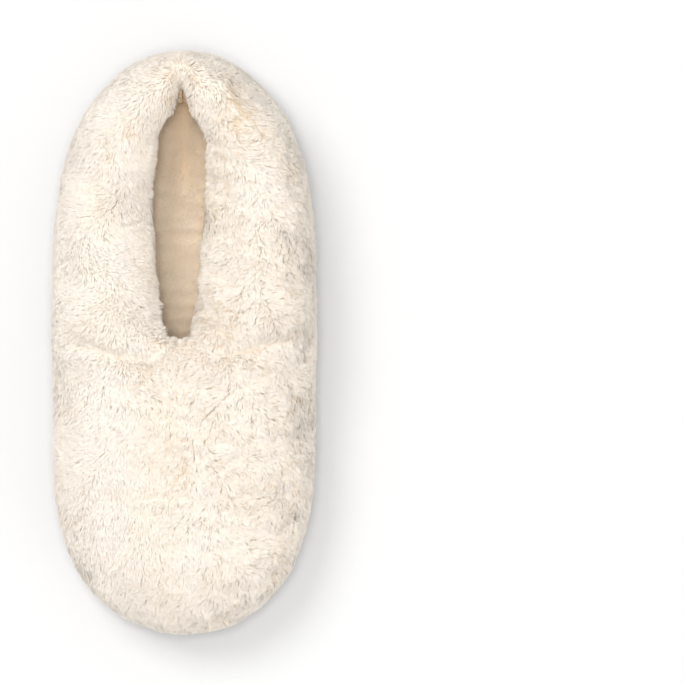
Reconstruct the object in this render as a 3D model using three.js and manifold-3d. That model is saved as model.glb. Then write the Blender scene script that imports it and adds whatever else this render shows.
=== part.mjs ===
// A closed-back plush house slipper, unhanded, as separate sewn and cemented pieces.
// Millimetres, +Z up, toe towards -Y, origin on the floor under the middle of the slipper.
import * as THREE from "three";
import { mergeVertices } from "three/addons/utils/BufferGeometryUtils.js";
import Module from "manifold-3d";

const wasm = await Module();
wasm.setup();

// ---- driving dimensions -------------------------------------------------
const LENGTH = 275; // over the pile, toe to heel
const GAP = 0.3; // clearance between neighbouring layers
const FLEX_Y = -46; // the ball line, where the sole bends
const FLEX_Z = 18.6; // height of the bend axis, just over the footbed
const SEAM_Y = -3; // cross seam between vamp and quarters

// layers of the sole, from the floor up: [z low, z high, inset from the outline]
const LUG_H = 1.6;
const OUTSOLE = [1.5, 4.0, 6.5];
const MIDSOLE = [4.3, 9.3, 14.6];
const BOARD = [9.6, 10.8, 12.9];
const FOAM = [11.1, 16.1, 18.6];
const COVER = [16.4, 18.3, 17.9];

// layers of the upper, as depth below the tips of the pile
const PLUSH = [0, 9];
const PADDING = [9.3, 13.0];
const COUNTER = [11.5, 12.7];
const LINING = [13.3, 15.5];
const TAPE = [15.8, 16.6];
const FACING = 8; // how far the plush is solid back from the topline
const ELASTIC_R = 1.5;

// half of the outline, toe to heel: [half width, y]
const OUTLINE = [
  [0, -137.5], [10.8, -136.5], [18, -134.7], [27.4, -130.6], [35, -125.2],
  [41.6, -119.3], [46.3, -113.9], [50.1, -108.2], [52.9, -102.5], [56.7, -91.2],
  [59.3, -79.9], [61.2, -62.8], [61.9, -45.8], [62.2, -19.4], [62.4, 8],
  [62.2, 30], [61.5, 48], [60.2, 62], [57.8, 78.9], [54.6, 90.2], [50.2, 101.4],
  [47.2, 107.3], [43.2, 112.9], [38.8, 118.6], [33.0, 124.5], [26.4, 129.8],
  [17, 134.6], [10.2, 136.6], [0, 137.5],
];
// half of the foot opening at the topline: [y, half width]
const MOUTH = [
  [3.8, 0.6], [5.0, 3.2], [8, 5.4], [13, 7.4], [20, 9.0], [32, 10.4], [46, 11.4],
  [60, 12.1], [70, 12.0], [84, 10.9], [97, 8.6], [104, 6.2], [109, 4.0],
  [113, 2.3], [116, 0.7],
];
const TOE_POLE = -72;
const HEEL_POLE = 70;

// ---- small helpers ------------------------------------------------------
const lerp = (a, b, t) => a + (b - a) * t;
const step = (a, b, x) => {
  const t = Math.min(1, Math.max(0, (x - a) / (b - a)));
  return t * t * (3 - 2 * t);
};
function table(rows, x) {
  if (x <= rows[0][0]) return rows[0][1];
  for (let i = 1; i < rows.length; i++)
    if (x <= rows[i][0]) {
      const [a, u] = rows[i - 1], [b, v] = rows[i];
      return lerp(u, v, (x - a) / (b - a));
    }
  return rows[rows.length - 1][1];
}
// distance from a point, along a direction, to a closed loop of points
function hit(loop, cx, cy, dx, dy) {
  let best = 0;
  for (let i = 0; i < loop.length; i++) {
    const [ax, ay] = loop[i], [bx, by] = loop[(i + 1) % loop.length];
    const ex = bx - ax, ey = by - ay, den = dx * ey - dy * ex;
    if (Math.abs(den) < 1e-9) continue;
    const s = ((ax - cx) * ey - (ay - cy) * ex) / den;
    const u = ((ax - cx) * dy - (ay - cy) * dx) / den;
    if (s > 0 && u >= -1e-6 && u <= 1 + 1e-6) best = Math.max(best, s);
  }
  return best;
}
const smoothHalf = new THREE.CatmullRomCurve3(
  OUTLINE.map(([x, y]) => new THREE.Vector3(x, y, 0)), false, "centripetal",
).getSpacedPoints(150).map((p) => [Math.max(0, p.x), p.y]);
const outlineLoop = [
  ...smoothHalf,
  ...smoothHalf.slice(1, -1).reverse().map(([x, y]) => [-x, y]),
];
const mouthHalf = MOUTH.map(([y, w]) => [w, y]);
const mouthLoop = [
  ...mouthHalf,
  ...[...mouthHalf].reverse().map(([x, y]) => [-x, y]),
];

// a counter-clockwise loop moved outwards
function offsetLoop(loop, d) {
  const n = loop.length;
  return loop.map(([x, y], i) => {
    const [px, py] = loop[(i + n - 1) % n], [qx, qy] = loop[(i + 1) % n];
    const tx = qx - px, ty = qy - py, l = Math.hypot(tx, ty);
    return [x + (ty / l) * d, y - (tx / l) * d];
  });
}

// ---- the body of the slipper: meridians about a spine ---------------------
// each meridian stands on the spine at c, runs out along d, and reaches the outline at R
const meridians = [];
{
  const ys = [TOE_POLE, -59, FLEX_Y, -33, -20, -10, -3, 3, 9, 17, 29, 43, 57, HEEL_POLE];
  const FAN = 10;
  for (const y of ys) meridians.push({ c: [0, y], d: [1, 0] });
  for (let i = 1; i < FAN; i++) {
    const a = (Math.PI * i) / FAN;
    meridians.push({ c: [0, HEEL_POLE], d: [Math.cos(a), Math.sin(a)] });
  }
  for (const y of [...ys].reverse()) meridians.push({ c: [0, y], d: [-1, 0] });
  for (let i = 1; i < FAN; i++) {
    const a = Math.PI + (Math.PI * i) / FAN;
    meridians.push({ c: [0, TOE_POLE], d: [Math.cos(a), Math.sin(a)] });
  }
  for (const m of meridians) m.R = hit(outlineLoop, ...m.c, ...m.d);
}
const VAMP_TOP = [[-72, 62.5], [-59, 65.6], [-46, 68.2], [-33, 70.4], [-20, 72], [-3, 73], [9, 72]];
const RIDGE = [[-20, 72], [0, 71.5], [9, 70.5], [29, 67.6], [57, 66], [70, 66.4]];
const EDGE = [[0, 66], [9, 62], [29, 58.5], [57, 57], [70, 57.6]];
const LOW = [[-2, 6.2], [8, 3.4], [18, 1.1], [28, 0]]; // [z, inset]
const ARC = 6, INNER = 3;

// heights and edge of one meridian
function facts(m) {
  const y = m.c[1], s = Math.abs(m.d[1]); // s is 0 at the side and 1 at the toe or the heel
  const heel = y >= HEEL_POLE - 1e-6 ? s : 0;
  return {
    k: y <= TOE_POLE + 1e-6 ? 0 : step(-16, 10, y),
    top: table(VAMP_TOP, y),
    ridge: lerp(table(RIDGE, y), 72.5, heel * heel),
    edge: lerp(table(EDGE, y), 65.5, heel * heel),
    ro: y > MOUTH[0][0] ? Math.max(0.5, hit(mouthLoop, ...m.c, ...m.d)) : 0.5,
  };
}
// the section of the body along one meridian, at depth t below the pile tips: [r, z], base to spine
function profile(m, t) {
  const f = facts(m), R = m.R - t, z0 = LOW[3][0], out = [];
  for (const [z, inset] of LOW) out.push([R - inset, z]);
  const n = ARC + INNER;
  const vamp = [], collar = [];
  for (let i = 1; i <= n; i++) {
    const a = ((Math.PI / 2) * i) / n, p = 2 / 2.3;
    vamp.push([
      i === n ? 0 : R * Math.cos(a) ** p,
      z0 + (f.top - t - z0) * Math.sin(a) ** p,
    ]);
  }
  const rr = Math.min(f.ro + 0.42 * (m.R - f.ro), R - 2), zr = f.ridge - t, ze = f.edge - t;
  for (let i = 1; i <= ARC; i++) {
    const a = ((Math.PI / 2) * i) / ARC, p = 2 / 2.25;
    collar.push([rr + (R - rr) * (i === ARC ? 0 : Math.cos(a) ** p), z0 + (zr - z0) * Math.sin(a) ** p]);
  }
  const ro = Math.min(f.ro, rr * 0.8);
  collar.push([lerp(rr, ro, 0.55), lerp(zr, ze, 0.36)], [ro, ze], [0, ze - 2]);
  for (let i = 0; i < n; i++)
    out.push([lerp(vamp[i][0], collar[i][0], f.k), lerp(vamp[i][1], collar[i][1], f.k)]);
  return out;
}

// a closed mesh from points and faces, with its shared vertices merged
function solid(positions, faces) {
  const g = new THREE.BufferGeometry();
  g.setAttribute("position", new THREE.Float32BufferAttribute(positions.flat(), 3));
  g.setIndex(faces.flat());
  return toManifold(g);
}
function toManifold(geometry) {
  const g = geometry.clone();
  for (const name of ["normal", "uv"]) if (g.getAttribute(name)) g.deleteAttribute(name);
  const merged = mergeVertices(g, 1e-4), index = merged.index.array, kept = [];
  for (let i = 0; i < index.length; i += 3) {
    const [a, b, c] = [index[i], index[i + 1], index[i + 2]];
    if (a !== b && b !== c && c !== a) kept.push(a, b, c);
  }
  return new wasm.Manifold(new wasm.Mesh({
    numProp: 3,
    vertProperties: new Float32Array(merged.attributes.position.array),
    triVerts: new Uint32Array(kept),
  }));
}
function toGeometry(m) {
  const mesh = m.getMesh(), v = new Float32Array(mesh.numVert * 3);
  for (let i = 0; i < mesh.numVert; i++)
    v.set(mesh.vertProperties.subarray(i * mesh.numProp, i * mesh.numProp + 3), i * 3);
  const g = new THREE.BufferGeometry();
  g.setAttribute("position", new THREE.BufferAttribute(v, 3));
  g.setIndex(new THREE.BufferAttribute(mesh.triVerts, 1));
  return g;
}

// the whole closed body at depth t
const bodies = new Map();
function body(t) {
  if (bodies.has(t)) return bodies.get(t);
  const pts = [], faces = [], N = meridians.length;
  const rows = meridians.map((m) => {
    const p = profile(m, t);
    return [
      ...p.map(([r, z]) => pts.push([m.c[0] + m.d[0] * r, m.c[1] + m.d[1] * r, z]) - 1),
      pts.push([m.c[0], m.c[1], LOW[0][0]]) - 1, // under the spine
    ];
  });
  for (let j = 0; j < N; j++) {
    const a = rows[j], b = rows[(j + 1) % N], K = a.length - 2;
    for (let k = 0; k < K; k++)
      faces.push([a[k], b[k], b[k + 1]], [a[k], b[k + 1], a[k + 1]]);
    faces.push([a[0], a[K + 1], b[K + 1]], [a[0], b[K + 1], b[0]]);
  }
  const made = solid(pts, faces);
  bodies.set(t, made);
  return made;
}
// height of the body's top over a point
function topZ(x, y) {
  const py = Math.min(HEEL_POLE, Math.max(TOE_POLE, y));
  const dx = x, dy = y - py, r = Math.hypot(dx, dy) || 1e-6;
  const m = { c: [0, py], d: [dx / r, dy / r] };
  m.R = hit(outlineLoop, ...m.c, ...m.d);
  const p = profile(m, 0);
  for (let i = p.length - 1; i > 3; i--)
    if (r <= p[i - 1][0] && r >= p[i][0])
      return lerp(p[i][1], p[i - 1][1], (r - p[i][0]) / (p[i - 1][0] - p[i][0] || 1));
  return p[p.length - 1][1];
}

// a vertical prism over a counter-clockwise loop
function prism(loop, z0, z1) {
  const shape = new THREE.Shape(loop.map(([x, y]) => new THREE.Vector2(x, y)));
  const g = new THREE.ExtrudeGeometry(shape, { depth: z1 - z0, bevelEnabled: false, steps: 1 });
  g.translate(0, 0, z0);
  return toManifold(g);
}
// the same, with a bottom that has its own height at each corner
function prismOn(loop, bottoms, z1) {
  const n = loop.length, pts = [], faces = [];
  loop.forEach(([x, y], i) => pts.push([x, y, bottoms[i]]));
  loop.forEach(([x, y]) => pts.push([x, y, z1]));
  for (let i = 0; i < n; i++) {
    const j = (i + 1) % n;
    faces.push([i, j, n + j], [i, n + j, n + i]);
  }
  // the loop runs up one side and down the other, so its caps are rungs from side to side
  for (let i = 0; i < n / 2 - 1; i++) {
    const a = i, b = i + 1, c = n - 2 - i, d = n - 1 - i;
    faces.push([n + a, n + b, n + c], [n + a, n + c, n + d], [c, b, a], [d, c, a]);
  }
  return solid(pts, faces);
}
function box(x0, x1, y0, y1, z0, z1) {
  const g = new THREE.BoxGeometry(x1 - x0, y1 - y0, z1 - z0);
  g.translate((x0 + x1) / 2, (y0 + y1) / 2, (z0 + z1) / 2);
  return toManifold(g);
}
const BIG = 300;
const infront = (y) => box(-BIG, BIG, -BIG, y, -BIG, BIG);
const behind = (y) => box(-BIG, BIG, y, BIG, -BIG, BIG);
const above = (z) => box(-BIG, BIG, -BIG, BIG, z, BIG);

// ---- regions ------------------------------------------------------------
// the vamp runs back to the cross seam, with a tab up to the front of the foot opening
const tab = (s) => [
  [-BIG, -BIG], [BIG, -BIG], [BIG, SEAM_Y + s], [15, SEAM_Y + s], [8.5 + s, 6.8 + s],
  [-8.5 - s, 6.8 + s], [-15, SEAM_Y + s], [-BIG, SEAM_Y + s],
];
const vampRegion = prism(tab(-GAP / 2), -50, 150);
const vampZone = prism(tab(GAP / 2), -50, 150);
const toe = infront(FLEX_Y - GAP / 2), rest = behind(FLEX_Y + GAP / 2);
const left = box(-BIG, -GAP / 2, -BIG, BIG, -BIG, BIG);
const right = box(GAP / 2, BIG, -BIG, BIG, -BIG, BIG);

// ---- the foot opening and the turned-in plush around it -------------------
const mouth = prism(mouthLoop, -50, 150);
const ringBottom = (loop, down) =>
  loop.map(([x, y], i) => topZ(mouthLoop[i][0], mouthLoop[i][1]) - LINING[1] - 3.5 - down);
const ringLoop = offsetLoop(mouthLoop, FACING);
const cutLoop = offsetLoop(mouthLoop, FACING + GAP);
const ring = prismOn(ringLoop, ringBottom(ringLoop, 0), 150);
const ringCut = prismOn(cutLoop, ringBottom(cutLoop, GAP), 150);

// the elastic runs round the opening, sewn into the fold of the plush
const elasticLoop = offsetLoop(mouthLoop, FACING / 2);
const elasticPath = new THREE.CatmullRomCurve3(
  elasticLoop.map(([x, y], i) => new THREE.Vector3(x, y, topZ(mouthLoop[i][0], mouthLoop[i][1]) - 8.2)),
  true, "centripetal",
);
function tube(path, r, sides, steps) {
  const pts = [], faces = [];
  for (let i = 0; i < steps; i++) {
    const p = path.getPointAt(i / steps), t = path.getTangentAt(i / steps);
    const side = new THREE.Vector3(t.y, -t.x, 0).normalize();
    const up = new THREE.Vector3().crossVectors(side, t).normalize();
    for (let j = 0; j < sides; j++) {
      const a = (2 * Math.PI * j) / sides;
      const q = p.clone().addScaledVector(side, r * Math.cos(a)).addScaledVector(up, r * Math.sin(a));
      pts.push([q.x, q.y, q.z]);
    }
  }
  for (let i = 0; i < steps; i++)
    for (let j = 0; j < sides; j++) {
      const a = i * sides + j, b = i * sides + ((j + 1) % sides);
      const c = ((i + 1) % steps) * sides + j, d = ((i + 1) % steps) * sides + ((j + 1) % sides);
      faces.push([a, d, c], [a, b, d]);
    }
  let s = solid(pts, faces);
  if (s.volume() < 0) s = solid(pts, faces.map(([a, b, c]) => [a, c, b]));
  return s;
}
const elastic = tube(elasticPath, ELASTIC_R, 8, 38);
const elasticBore = tube(elasticPath, ELASTIC_R + 0.45, 8, 38);

// ---- layers of the upper --------------------------------------------------
const shell = (a, b, z) => body(a).subtract(body(b)).intersect(above(z));
const plushWhole = shell(...PLUSH, MIDSOLE[0])
  .add(shell(PLUSH[0], LINING[1], MIDSOLE[0]).intersect(ring))
  .subtract(mouth)
  .subtract(elasticBore);
const counterZone = (g) =>
  box(-BIG, BIG, 62 - g, BIG, BOARD[1] + GAP - g, 43 + g).subtract(box(-30 + g, 30 - g, 0, 100 - g, 30, 100));
const paddingWhole = shell(...PADDING, BOARD[1] + GAP)
  .subtract(ringCut)
  .subtract(body(COUNTER[0] - GAP).intersect(counterZone(GAP)));
const counter = shell(...COUNTER, BOARD[1] + GAP).intersect(counterZone(0));
const liningWhole = shell(...LINING, BOARD[1] + GAP).subtract(ringCut);
const seamTape = shell(...TAPE, COVER[1] + GAP)
  .intersect(box(-5, 5, 113, BIG, 0, 44));

// ---- layers of the sole ---------------------------------------------------
const inset = (d) => meridians.map((m) => [m.c[0] + m.d[0] * (m.R - d), m.c[1] + m.d[1] * (m.R - d)]);
const slab = ([z0, z1, d]) => prism(inset(d), z0, z1);
let outsoleWhole = slab(OUTSOLE);
{
  const edge = inset(OUTSOLE[2] + 6.5);
  const pitch = 20, lug = (x, y) => {
    const g = new THREE.CylinderGeometry(5, 5, LUG_H, 8);
    g.rotateX(Math.PI / 2);
    g.translate(x, y, LUG_H / 2);
    return toManifold(g);
  };
  const inside = (x, y) => {
    let odd = false;
    for (let i = 0, j = edge.length - 1; i < edge.length; j = i++) {
      const [ax, ay] = edge[i], [bx, by] = edge[j];
      if (ay > y !== by > y && x < ((bx - ax) * (y - ay)) / (by - ay) + ax) odd = !odd;
    }
    return odd;
  };
  for (let row = -9; row <= 9; row++)
    for (let col = -4; col <= 4; col++) {
      const y = FLEX_Y + pitch * 0.866 * (row + 0.5) + 3.5 * 17.32;
      const x = pitch * (col + (row % 2 ? 0.5 : 0));
      if (Math.abs(y - FLEX_Y) > 5 && inside(x, y)) outsoleWhole = outsoleWhole.add(lug(x, y));
    }
}
const layers = {
  outsole: outsoleWhole,
  midsole: slab(MIDSOLE),
  insole_board: slab(BOARD),
  footbed_foam: slab(FOAM),
  footbed_cover: slab(COVER),
};

// ---- materials ------------------------------------------------------------
const finish = (hex, roughness) => new THREE.MeshStandardMaterial({ color: hex, roughness, metalness: 0 });
const MATERIALS = {
  plush: finish(0xf6ecdf, 0.95),
  lining: finish(0xd8bd98, 0.95),
  padding: finish(0xefe6d2, 0.9),
  counter: finish(0xe6e0d4, 0.8),
  elastic: finish(0xf4f1ea, 0.8),
  tape: finish(0xcfb089, 0.9),
  outsole: finish(0xe2d3bd, 0.7),
  midsole: finish(0xf0eadf, 0.85),
  board: finish(0xc9b08a, 0.9),
  foam: finish(0xf1ead6, 0.9),
  cover: finish(0xdcc29e, 0.95),
};

// ---- the scene ------------------------------------------------------------
const slipper = new THREE.Group();
slipper.name = "slipper";
const rear = new THREE.Group(), forefoot = new THREE.Group();
slipper.add(rear, forefoot);
function place(group, name, made, material) {
  const mesh = new THREE.Mesh(toGeometry(made), MATERIALS[material]);
  mesh.name = name;
  group.add(mesh);
}

const SOLE_MATERIAL = {
  outsole: "outsole", midsole: "midsole", insole_board: "board", footbed_foam: "foam", footbed_cover: "cover",
};
for (const [name, made] of Object.entries(layers)) {
  place(rear, name + "_rear", made.intersect(rest), SOLE_MATERIAL[name]);
  place(forefoot, name + "_forefoot", made.intersect(toe), SOLE_MATERIAL[name]);
}
for (const [name, made, material] of [
  ["plush", plushWhole, "plush"],
  ["padding", paddingWhole, "padding"],
  ["lining", liningWhole, "lining"],
]) {
  const vamp = made.intersect(vampRegion), quarters = made.subtract(vampZone);
  place(forefoot, "vamp_" + name + "_toe", vamp.intersect(toe), material);
  place(rear, "vamp_" + name + "_instep", vamp.intersect(rest), material);
  place(rear, "quarter_" + name + "_left", quarters.intersect(left), material);
  place(rear, "quarter_" + name + "_right", quarters.intersect(right), material);
}
place(rear, "heel_counter", counter, "counter");
place(rear, "heel_seam_tape", seamTape, "tape");
place(rear, "topline_elastic", elastic, "elastic");

export default slipper;
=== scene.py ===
import math

import bpy
import numpy as np
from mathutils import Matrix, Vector, kdtree


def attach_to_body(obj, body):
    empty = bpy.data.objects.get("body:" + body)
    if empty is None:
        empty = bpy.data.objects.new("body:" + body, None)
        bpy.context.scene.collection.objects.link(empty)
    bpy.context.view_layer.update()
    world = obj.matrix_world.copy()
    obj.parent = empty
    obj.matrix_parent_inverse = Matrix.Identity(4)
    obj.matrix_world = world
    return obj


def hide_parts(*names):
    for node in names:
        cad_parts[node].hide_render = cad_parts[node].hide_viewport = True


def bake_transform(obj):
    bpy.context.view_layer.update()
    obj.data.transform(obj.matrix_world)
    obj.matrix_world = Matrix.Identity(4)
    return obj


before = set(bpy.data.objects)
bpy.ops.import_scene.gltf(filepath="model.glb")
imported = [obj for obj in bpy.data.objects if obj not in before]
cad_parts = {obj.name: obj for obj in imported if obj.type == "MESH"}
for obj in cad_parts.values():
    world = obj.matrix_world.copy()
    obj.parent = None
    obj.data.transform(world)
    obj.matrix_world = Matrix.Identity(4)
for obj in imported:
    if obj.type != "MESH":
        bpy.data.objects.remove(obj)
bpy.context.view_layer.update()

MM = 0.001

# ---------------------------------------------------------------- dimensions
# millimetres, as in the CAD: toe towards -Y, +Z up
SEAM_Y, FLEX_Y, FLEX_Z = -3.0, -46.0, 18.6
TOE_POLE, HEEL_POLE = -72.0, 70.0
PILE = 2.8  # depth of the plush's backing under the tips of its pile
LOCK_LENGTH = 4.7

OUTLINE = np.array([
    [0, -137.5], [10.8, -136.5], [18, -134.7], [27.4, -130.6], [35, -125.2],
    [41.6, -119.3], [46.3, -113.9], [50.1, -108.2], [52.9, -102.5], [56.7, -91.2],
    [59.3, -79.9], [61.2, -62.8], [61.9, -45.8], [62.2, -19.4], [62.4, 8],
    [62.2, 30], [61.5, 48], [60.2, 62], [57.8, 78.9], [54.6, 90.2], [50.2, 101.4],
    [47.2, 107.3], [43.2, 112.9], [38.8, 118.6], [33.0, 124.5], [26.4, 129.8],
    [17, 134.6], [10.2, 136.6], [0, 137.5]])
MOUTH = np.array([
    [0.8, -1.8], [4.2, 0.0], [6.2, 4.2], [7.6, 10.5], [8.9, 19], [10.7, 32], [12.0, 46],
    [12.7, 60], [13.0, 70], [13.1, 84], [12.8, 94], [11.6, 99], [9.3, 102.8],
    [6.9, 106], [4.9, 109.5], [4.1, 113.5], [3.5, 118], [0.8, 122.8]])
VAMP_TOP = np.array([[-72, 62.5], [-59, 65.6], [-46, 68.2], [-33, 70.4], [-20, 72], [-3, 73], [9, 72]])
RIDGE = np.array([[-20, 72], [0, 71.5], [9, 70.5], [29, 67.6], [57, 66], [70, 66.4]])
EDGE = np.array([[0, 66], [9, 62], [29, 58.5], [57, 57], [70, 57.6]])
LOW = np.array([[-2, 6.2], [8, 3.4], [18, 1.1], [28, 0]])


# ---------------------------------------------------------------- curves
def smooth(a, b, x):
    t = np.clip((np.asarray(x, float) - a) / (b - a), 0, 1)
    return t * t * (3 - 2 * t)


def lerp(a, b, t):
    return a + (b - a) * t


def catmull(p, per):
    """A centripetal Catmull-Rom curve through the rows of p, with per steps between each two."""
    p = np.asarray(p, float)
    q = np.vstack([2 * p[0] - p[1], p, 2 * p[-1] - p[-2]])
    out = []
    for i in range(1, len(q) - 2):
        p0, p1, p2, p3 = q[i - 1], q[i], q[i + 1], q[i + 2]
        t0 = 0.0
        t1 = t0 + max(1e-6, np.linalg.norm(p1 - p0)) ** 0.5
        t2 = t1 + max(1e-6, np.linalg.norm(p2 - p1)) ** 0.5
        t3 = t2 + max(1e-6, np.linalg.norm(p3 - p2)) ** 0.5
        for t in np.linspace(t1, t2, per, endpoint=False):
            a1 = (t1 - t) / (t1 - t0) * p0 + (t - t0) / (t1 - t0) * p1
            a2 = (t2 - t) / (t2 - t1) * p1 + (t - t1) / (t2 - t1) * p2
            a3 = (t3 - t) / (t3 - t2) * p2 + (t - t2) / (t3 - t2) * p3
            b1 = (t2 - t) / (t2 - t0) * a1 + (t - t0) / (t2 - t0) * a2
            b2 = (t3 - t) / (t3 - t1) * a2 + (t - t1) / (t3 - t1) * a3
            out.append((t2 - t) / (t2 - t1) * b1 + (t - t1) / (t2 - t1) * b2)
    out.append(p[-1])
    return np.array(out)


def unit(v):
    return v / np.maximum(np.linalg.norm(v, axis=-1, keepdims=True), 1e-9)


def soft_table(rows, x):
    c = catmull(rows, 16)
    return np.interp(x, c[:, 0], c[:, 1])


outline = catmull(OUTLINE, 12)
mouth = catmull(MOUTH, 12)


# ---------------------------------------------------------------- meridians
# the surface is a grid: s runs round the slipper, v runs from the sole up and in to the middle
def meridians(side, fan):
    ys = np.linspace(TOE_POLE, HEEL_POLE, side + 1)
    ang = np.linspace(0, math.pi, fan + 1)[1:-1]
    c = [(0, y) for y in ys] + [(0, HEEL_POLE)] * len(ang) + [(0, y) for y in ys[::-1]] + [(0, TOE_POLE)] * len(ang)
    d = ([(1, 0)] * len(ys) + [(math.cos(a), math.sin(a)) for a in ang]
         + [(-1, 0)] * len(ys) + [(-math.cos(a), -math.sin(a)) for a in ang])
    c, d = np.array(c, float), np.array(d, float)
    heel = (c[:, 1] >= HEEL_POLE - 1e-6)
    toe = (c[:, 1] <= TOE_POLE + 1e-6)
    R = np.interp(c[:, 1], outline[:, 1], outline[:, 0])
    ro = np.interp(c[:, 1], mouth[:, 1], mouth[:, 0], left=0.5, right=0.5)
    for mask, pole in ((heel, HEEL_POLE), (toe, TOE_POLE)):
        up = 1 if pole > 0 else -1
        pts = outline[up * (outline[:, 1] - pole) >= -2]
        a = np.arctan2(up * (pts[:, 1] - pole), pts[:, 0])
        r = np.hypot(pts[:, 0], pts[:, 1] - pole)
        o = np.argsort(a)
        want = np.arctan2(up * d[mask, 1], np.abs(d[mask, 0]))
        R[mask] = np.interp(want, a[o], r[o])
    pts = mouth[mouth[:, 1] >= HEEL_POLE - 3]
    a = np.arctan2(pts[:, 1] - HEEL_POLE, pts[:, 0])
    o = np.argsort(a)
    want = np.arctan2(d[heel, 1], np.abs(d[heel, 0]))
    ro[heel] = np.interp(want, a[o], np.hypot(pts[:, 0], pts[:, 1] - HEEL_POLE)[o])
    ro[c[:, 1] < MOUTH[0, 1]] = 0.5
    return {"c": c, "d": d, "R": R, "ro": ro, "heel": heel, "toe": toe, "side": side, "fan": fan, "n": len(c)}


def facts(m):
    y, s = m["c"][:, 1], np.abs(m["d"][:, 1])
    h = np.where(m["heel"], s, 0.0)
    return {
        "k": np.where(m["toe"], 0.0, smooth(-16, 10, y)),
        "top": soft_table(VAMP_TOP, y),
        "ridge": lerp(soft_table(RIDGE, y), 72.5, h * h),
        "edge": lerp(soft_table(EDGE, y) - 4.5 * smooth(4, 24, y), 63.5, h * h),
    }


ARC, INNER = 6, 3
OFF_CENTRE = 1.9  # the right of the collar leans over the opening


def profile(m, t, rim=0.0, lip=None, base=None):
    """[n, points, (r, z)] of the section on each meridian at depth t. rim moves the mouth's edge outwards, and lip adds the turned-in edge under it."""
    f, n = facts(m), m["n"]
    R = m["R"] - t
    z0 = LOW[-1, 0]
    cols = [np.stack([R - inset, np.full(n, float(z))], 1) for z, inset in LOW]
    if base is not None:  # the lowest points, where this layer stands
        cols[0][:, 1] = base
        cols[0][:, 0] = R - np.interp(base, LOW[:, 0], LOW[:, 1])
        for i in (1, 2):
            z = lerp(base, z0, i / 3)
            cols[i][:, 1] = z
            cols[i][:, 0] = R - np.interp(z, LOW[:, 0], LOW[:, 1])
    N = ARC + INNER
    vamp = []
    for i in range(1, N + 1):
        a, p = math.pi / 2 * i / N, 2 / 2.3
        r = R * (0 if i == N else math.cos(a) ** p)
        vamp.append(np.stack([r, z0 + (f["top"] - t - z0) * math.sin(a) ** p], 1))
    ro0 = m["ro"]
    rr = np.minimum(ro0 + 0.46 * (m["R"] - ro0), R - 2)
    zr, ze = f["ridge"] - t, f["edge"] - t
    collar = []
    for i in range(1, ARC + 1):
        a, p = math.pi / 2 * i / ARC, 2 / 2.25
        w = 0 if i == ARC else math.cos(a) ** p
        collar.append(np.stack([rr + (R - rr) * w, z0 + (zr - z0) * math.sin(a) ** p], 1))
    grow = np.clip(ro0 / 5, 0.12, 1)
    ro = np.minimum(ro0, rr * 0.8) + rim * grow - OFF_CENTRE * m["d"][:, 0] * grow * (rim > 0)
    ro = np.minimum(ro, rr * 0.86)
    collar.append(np.stack([lerp(rr, ro, 0.55), lerp(zr, ze, 0.36)], 1))
    collar.append(np.stack([ro, ze], 1))
    collar.append(np.stack([np.zeros(n), ze - 2], 1))
    k = f["k"][:, None]
    for a, b in zip(vamp, collar):
        cols.append(lerp(a, b, k))
    open_ = (m["c"][:, 1] > MOUTH[0, 1])
    if lip is not None:
        edge, spine = cols[-2].copy(), cols[-1].copy()
        cols = cols[:-1]
        for dr, dz in lip:
            q = np.stack([edge[:, 0] + dr * grow, edge[:, 1] + dz * np.clip(grow * 1.4, 0, 1)], 1)
            cols.append(np.where(open_[:, None], q, spine))
    return np.stack(cols, 1)


def refine(prof, per):
    """Smooths the section's points with per steps between each two."""
    n, k, _ = prof.shape
    last = 2 * prof[:, -1] - prof[:, -2]
    crown = prof[:, -1, 0] < 0.01  # the section goes over the middle and down the other side
    last[crown] = prof[crown, -2] * np.array([-1, 1])
    q = np.concatenate([2 * prof[:, :1] - prof[:, 1:2], prof, last[:, None]], 1)
    out = []
    for i in range(1, k):
        p0, p1, p2, p3 = q[:, i - 1], q[:, i], q[:, i + 1], q[:, i + 2]
        middle = (p2[:, 0] < 0.01) & (np.abs(p3 - p2).sum(1) < 1e-6)
        p3 = np.where(middle[:, None], p1 * np.array([-1, 1]), p3)
        l0 = np.maximum(np.linalg.norm(p1 - p0, axis=1), 0.02)[:, None] ** 0.5
        l1 = np.maximum(np.linalg.norm(p2 - p1, axis=1), 0.02)[:, None] ** 0.5
        l2 = np.maximum(np.linalg.norm(p3 - p2, axis=1), 0.02)[:, None] ** 0.5
        m1 = ((p1 - p0) / l0 - (p2 - p0) / (l0 + l1) + (p2 - p1) / l1) * l1
        m2 = ((p2 - p1) / l1 - (p3 - p1) / (l1 + l2) + (p3 - p2) / l2) * l1
        for j in range(per):
            u = j / per
            out.append((2 * u**3 - 3 * u**2 + 1) * p1 + (u**3 - 2 * u**2 + u) * m1
                       + (-2 * u**3 + 3 * u**2) * p2 + (u**3 - u**2) * m2)
    out.append(prof[:, -1])
    return np.stack(out, 1)


def to_space(m, prof):
    r, z = prof[..., 0], prof[..., 1]
    x = m["c"][:, None, 0] + m["d"][:, None, 0] * r
    y = m["c"][:, None, 1] + m["d"][:, None, 1] * r
    return np.stack([x, y, z], -1)


def grid_normals(P, closed=True):
    """Unit normals of a grid [s, v, 3], facing out."""
    if closed:
        ds = np.roll(P, -1, 0) - np.roll(P, 1, 0)
    else:
        ds = np.gradient(P, axis=0)
    dv = np.gradient(P, axis=1)
    n = np.cross(ds, dv)
    l = np.linalg.norm(n, axis=-1, keepdims=True)
    n = n / np.maximum(l, 1e-9)
    bad = l[..., 0] < 1e-7
    n[bad] = (0, 0, 1)
    return n


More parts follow.
